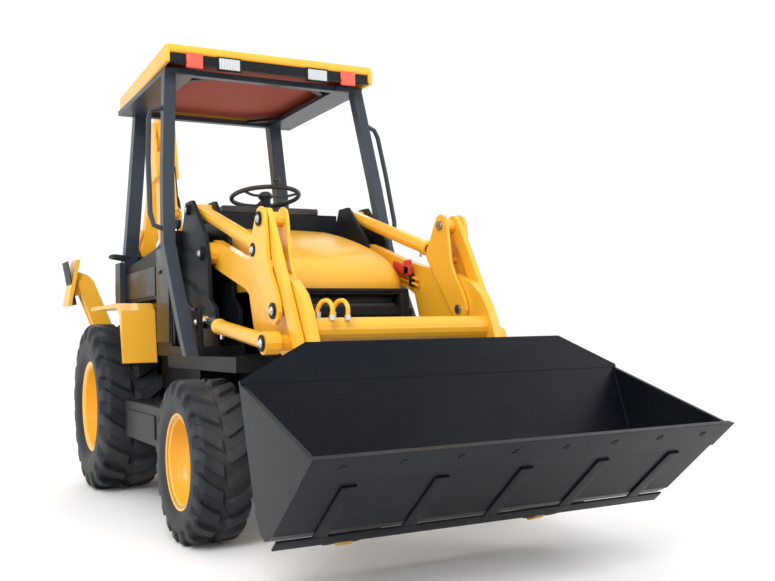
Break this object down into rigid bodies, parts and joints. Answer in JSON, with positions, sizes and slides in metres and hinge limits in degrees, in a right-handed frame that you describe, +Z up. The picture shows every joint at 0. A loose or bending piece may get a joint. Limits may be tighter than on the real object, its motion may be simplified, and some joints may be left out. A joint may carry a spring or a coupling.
{
  "type": "compact backhoe loader",
  "caption": "Compact backhoe loader with a four-post canopy, a front loader bucket on a parallel tipping linkage, a folded backhoe and two raised stabilisers.",
  "frame": {"origin": "on the ground under the middle of the machine's box", "axes": "the machine faces -Y, +Z is up, its left side is +X"},
  "size_m": [1.83, 5.8038, 2.8824],
  "materials": {
    "tyre_rubber": "dull moulded rubber",
    "chrome_rod": "ground and plated rod",
    "pin_steel": "worn steel",
    "seat_vinyl": "grained black vinyl",
    "slate_paint": "semi-gloss slate grey",
    "black_paint": "semi-gloss black",
    "black_plastic": "fine grained",
    "bucket_paint": "gloss black paint, scuffed inside",
    "yellow_paint": "gloss yellow"
  },
  "bodies": {
    "root": {"backhoe_frame": "yellow_paint", "canopy_frame": "slate_paint", "canopy_roof": "yellow_paint", "engine": "black_paint", "fender_left": "yellow_paint", "fender_right": "yellow_paint", "front_axle": "black_paint", "hood": "yellow_paint", "loader_towers": "black_paint", "main_frame": "black_paint", "operator_platform": "black_paint", "operator_seat": "seat_vinyl", "steering_wheel": "black_plastic"},
    "bucket_shaft": {"bucket_shaft": "pin_steel"},
    "boom": {"hoe_boom": "yellow_paint"},
    "boom_barrel": {"hoe_boom_cylinder_barrel": "yellow_paint"},
    "boom_rod": {"hoe_boom_cylinder_rod": "chrome_rod"},
    "hoe_bucket": {"hoe_bucket": "bucket_paint"},
    "hoe_barrel": {"hoe_bucket_cylinder_barrel": "yellow_paint"},
    "hoe_rod": {"hoe_bucket_cylinder_rod": "chrome_rod"},
    "dipper": {"hoe_dipper": "yellow_paint"},
    "dipper_barrel": {"hoe_dipper_cylinder_barrel": "yellow_paint"},
    "dipper_rod": {"hoe_dipper_cylinder_rod": "chrome_rod"},
    "hoe_lever": {"hoe_lever": "yellow_paint"},
    "hoe_link": {"hoe_link": "yellow_paint"},
    "steer_left": {"knuckle_left": "black_paint"},
    "steer_right": {"knuckle_right": "black_paint"},
    "lever_pins": {"lever_pin_left": "pin_steel", "lever_pin_right": "pin_steel"},
    "lift_barrels": {"lift_cylinder_left_barrel": "yellow_paint", "lift_cylinder_right_barrel": "yellow_paint"},
    "lift_rods": {"lift_cylinder_left_rod": "chrome_rod", "lift_cylinder_right_rod": "chrome_rod"},
    "link_pins": {"link_pin_left": "pin_steel", "link_pin_right": "pin_steel"},
    "loader_arms": {"loader_arms": "yellow_paint"},
    "bucket": {"loader_bucket": "bucket_paint"},
    "wheel_front_left": {"rim_front_left": "yellow_paint", "tyre_front_left": "tyre_rubber"},
    "wheel_front_right": {"rim_front_right": "yellow_paint", "tyre_front_right": "tyre_rubber"},
    "wheel_rear_left": {"rim_rear_left": "yellow_paint", "tyre_rear_left": "tyre_rubber"},
    "wheel_rear_right": {"rim_rear_right": "yellow_paint", "tyre_rear_right": "tyre_rubber"},
    "stabiliser_barrel_left": {"stabiliser_cylinder_left_barrel": "yellow_paint"},
    "stabiliser_rod_left": {"stabiliser_cylinder_left_rod": "chrome_rod"},
    "stabiliser_barrel_right": {"stabiliser_cylinder_right_barrel": "yellow_paint"},
    "stabiliser_rod_right": {"stabiliser_cylinder_right_rod": "chrome_rod"},
    "stabiliser_left": {"stabiliser_left": "yellow_paint"},
    "stabiliser_right": {"stabiliser_right": "yellow_paint"},
    "swing": {"swing_post": "yellow_paint"},
    "tilt_barrels": {"tilt_cylinder_left_barrel": "yellow_paint", "tilt_cylinder_right_barrel": "yellow_paint"},
    "tilt_rods": {"tilt_cylinder_left_rod": "chrome_rod", "tilt_cylinder_right_rod": "chrome_rod"},
    "levers": {"tilt_lever_left": "yellow_paint", "tilt_lever_right": "yellow_paint"},
    "links": {"tipping_link_left": "yellow_paint", "tipping_link_right": "yellow_paint"}
  },
  "joints": [
    {"name": "steer_right", "type": "hinge", "parent": "root", "child": "steer_right", "pos_m": [-0.56, -1.294, 0.367], "axis": [0, 0, 1], "range_deg": [-30, 30]},
    {"name": "wheel_front_right", "type": "hinge", "parent": "steer_right", "child": "wheel_front_right", "pos_m": [-0.735, -1.294, 0.367], "axis": [1, 0, 0], "continuous": true},
    {"name": "wheel_rear_right", "type": "hinge", "parent": "root", "child": "wheel_rear_right", "pos_m": [-0.713, 0.57, 0.507], "axis": [1, 0, 0], "continuous": true},
    {"name": "steer_left", "type": "hinge", "parent": "root", "child": "steer_left", "pos_m": [0.56, -1.294, 0.367], "axis": [0, 0, 1], "range_deg": [-30.11, 30.11]},
    {"name": "wheel_front_left", "type": "hinge", "parent": "steer_left", "child": "wheel_front_left", "pos_m": [0.735, -1.294, 0.367], "axis": [1, 0, 0], "continuous": true},
    {"name": "wheel_rear_left", "type": "hinge", "parent": "root", "child": "wheel_rear_left", "pos_m": [0.713, 0.57, 0.507], "axis": [1, 0, 0], "continuous": true},
    {"name": "loader_lift", "type": "hinge", "parent": "root", "child": "loader_arms", "pos_m": [0, -0.694, 1.36], "axis": [-1, 0, 0], "range_deg": [-3.44, 83.08]},
    {"name": "lever_level", "type": "hinge", "parent": "loader_arms", "child": "lever_pins", "pos_m": [0, -1.682, 1.032], "axis": [1, 0, 0], "range_deg": [-3.67, 83.31]},
    {"name": "lever_tilt", "type": "hinge", "parent": "lever_pins", "child": "levers", "pos_m": [0, -1.682, 1.032], "axis": [-1, 0, 0], "range_deg": [-84.22, 0.23]},
    {"name": "link_level", "type": "hinge", "parent": "levers", "child": "link_pins", "pos_m": [0, -1.527, 1.449], "axis": [-1, 0, 0], "range_deg": [-3.67, 83.31]},
    {"name": "link_tilt", "type": "hinge", "parent": "link_pins", "child": "links", "pos_m": [0, -1.527, 1.449], "axis": [1, 0, 0], "range_deg": [-84.22, 0.23]},
    {"name": "bucket_level", "type": "hinge", "parent": "loader_arms", "child": "bucket_shaft", "pos_m": [0, -2.164, 0.19], "axis": [1, 0, 0], "range_deg": [-3.67, 83.31]},
    {"name": "bucket_tilt", "type": "hinge", "parent": "bucket_shaft", "child": "bucket", "pos_m": [0, -2.164, 0.19], "axis": [-1, 0, 0], "range_deg": [-84, 0]},
    {"name": "tilt_barrel", "type": "hinge", "parent": "root", "child": "tilt_barrels", "pos_m": [0, -0.449, 1.62], "axis": [-1, 0, 0], "range_deg": [-3.64, 82.63]},
    {"name": "tilt_rod", "type": "slide", "parent": "tilt_barrels", "child": "tilt_rods", "axis": [0, -0.956, -0.2935], "range_m": [-0.004, 0.49486]},
    {"name": "lift_barrel", "type": "hinge", "parent": "loader_arms", "child": "lift_barrels", "pos_m": [0, -1.744, 0.894], "axis": [1, 0, 0], "range_deg": [-0.45, 5.57]},
    {"name": "lift_rod", "type": "slide", "parent": "lift_barrels", "child": "lift_rods", "axis": [0, 0.9934, 0.1145], "range_m": [-0.02453, 0.50025]},
    {"name": "hoe_swing", "type": "hinge", "parent": "root", "child": "swing", "pos_m": [0, 1.586, 0], "axis": [0, 0, 1], "range_deg": [-80, 80]},
    {"name": "hoe_boom", "type": "hinge", "parent": "swing", "child": "boom", "pos_m": [0, 1.756, 0.78], "axis": [-1, 0, 0], "range_deg": [0, 105]},
    {"name": "hoe_dipper", "type": "hinge", "parent": "boom", "child": "dipper", "pos_m": [0, 2.126, 2.6], "axis": [1, 0, 0], "range_deg": [0, 108]},
    {"name": "hoe_bucket", "type": "hinge", "parent": "dipper", "child": "hoe_bucket", "pos_m": [0, 2.69444, 1.63498], "axis": [1, 0, 0], "range_deg": [0, 132]},
    {"name": "hoe_lever", "type": "hinge", "parent": "dipper", "child": "hoe_lever", "pos_m": [0, 2.59294, 1.8073], "axis": [1, 0, 0], "range_deg": [-0.23, 132.23]},
    {"name": "hoe_link", "type": "hinge", "parent": "hoe_lever", "child": "hoe_link", "pos_m": [0, 2.75776, 1.69402], "axis": [-1, 0, 0], "range_deg": [-0.23, 132.23]},
    {"name": "boom_cylinder_barrel", "type": "hinge", "parent": "swing", "child": "boom_barrel", "pos_m": [0, 1.656, 1.09], "axis": [1, 0, 0], "range_deg": [-108.86, 0.23]},
    {"name": "boom_cylinder_rod", "type": "slide", "parent": "boom_barrel", "child": "boom_rod", "axis": [0, 0.1918, 0.9814], "range_m": [-0.004, 0.51752]},
    {"name": "dipper_cylinder_barrel", "type": "hinge", "parent": "boom", "child": "dipper_barrel", "pos_m": [0, 1.81146, 1.88102], "axis": [1, 0, 0], "range_deg": [-0.23, 3.05]},
    {"name": "dipper_cylinder_rod", "type": "slide", "parent": "dipper_barrel", "child": "dipper_rod", "axis": [0, 0.2407, 0.9706], "range_m": [-0.40678, 0.004]},
    {"name": "bucket_cylinder_barrel", "type": "hinge", "parent": "dipper", "child": "hoe_barrel", "pos_m": [0, 2.306, 2.58997], "axis": [1, 0, 0], "range_deg": [-2.94, 0.23]},
    {"name": "bucket_cylinder_rod", "type": "slide", "parent": "hoe_barrel", "child": "hoe_rod", "axis": [0, 0.4502, -0.8929], "range_m": [-0.36745, 0.004]},
    {"name": "stabiliser_right", "type": "hinge", "parent": "root", "child": "stabiliser_right", "pos_m": [-0.46, 1.251, 0.46], "axis": [0, -1, 0], "range_deg": [0, 99]},
    {"name": "stabiliser_barrel_right", "type": "hinge", "parent": "root", "child": "stabiliser_barrel_right", "pos_m": [-0.22, 1.251, 1.17], "axis": [0, -1, 0], "range_deg": [-0.23, 6.36]},
    {"name": "stabiliser_rod_right", "type": "slide", "parent": "stabiliser_barrel_right", "child": "stabiliser_rod_right", "axis": [-0.5697, 0, -0.8218], "range_m": [-0.004, 0.37581]},
    {"name": "stabiliser_left", "type": "hinge", "parent": "root", "child": "stabiliser_left", "pos_m": [0.46, 1.251, 0.46], "axis": [0, 1, 0], "range_deg": [0, 99]},
    {"name": "stabiliser_barrel_left", "type": "hinge", "parent": "root", "child": "stabiliser_barrel_left", "pos_m": [0.22, 1.251, 1.17], "axis": [0, 1, 0], "range_deg": [-0.23, 6.36]},
    {"name": "stabiliser_rod_left", "type": "slide", "parent": "stabiliser_barrel_left", "child": "stabiliser_rod_left", "axis": [0.5697, 0, -0.8218], "range_m": [-0.004, 0.37581]}
  ],
  "couplings": [
    {"joint": "steer_left", "follows": "steer_right", "ratio": 1},
    {"joint": "lever_level", "follows": "loader_lift", "ratio": 1},
    {"joint": "link_level", "follows": "loader_lift", "ratio": 1},
    {"joint": "bucket_level", "follows": "loader_lift", "ratio": 1},
    {"joint": "lever_tilt", "follows": "bucket_tilt", "ratio": 1},
    {"joint": "link_tilt", "follows": "bucket_tilt", "ratio": 1},
    {"joint": "tilt_barrel", "follows": "loader_lift", "ratio": 0.99187},
    {"joint": "tilt_rod", "follows": "bucket_tilt", "m_per_rad": -0.33483},
    {"joint": "lift_barrel", "follows": "loader_lift", "ratio": 0.064262},
    {"joint": "lift_rod", "follows": "loader_lift", "m_per_rad": 0.34224},
    {"joint": "hoe_lever", "follows": "hoe_bucket", "ratio": 1},
    {"joint": "hoe_link", "follows": "hoe_bucket", "ratio": 1},
    {"joint": "boom_cylinder_barrel", "follows": "hoe_boom", "ratio": -1.0346},
    {"joint": "boom_cylinder_rod", "follows": "hoe_boom", "m_per_rad": 0.28021},
    {"joint": "dipper_cylinder_barrel", "follows": "hoe_dipper", "ratio": 0.026144},
    {"joint": "dipper_cylinder_rod", "follows": "hoe_dipper", "m_per_rad": -0.21368},
    {"joint": "bucket_cylinder_barrel", "follows": "hoe_bucket", "ratio": -0.020495},
    {"joint": "bucket_cylinder_rod", "follows": "hoe_bucket", "m_per_rad": -0.15776},
    {"joint": "stabiliser_barrel_right", "follows": "stabiliser_right", "ratio": 0.061874},
    {"joint": "stabiliser_rod_right", "follows": "stabiliser_right", "m_per_rad": 0.21518},
    {"joint": "stabiliser_barrel_left", "follows": "stabiliser_left", "ratio": 0.061874},
    {"joint": "stabiliser_rod_left", "follows": "stabiliser_left", "m_per_rad": 0.21518}
  ]
}
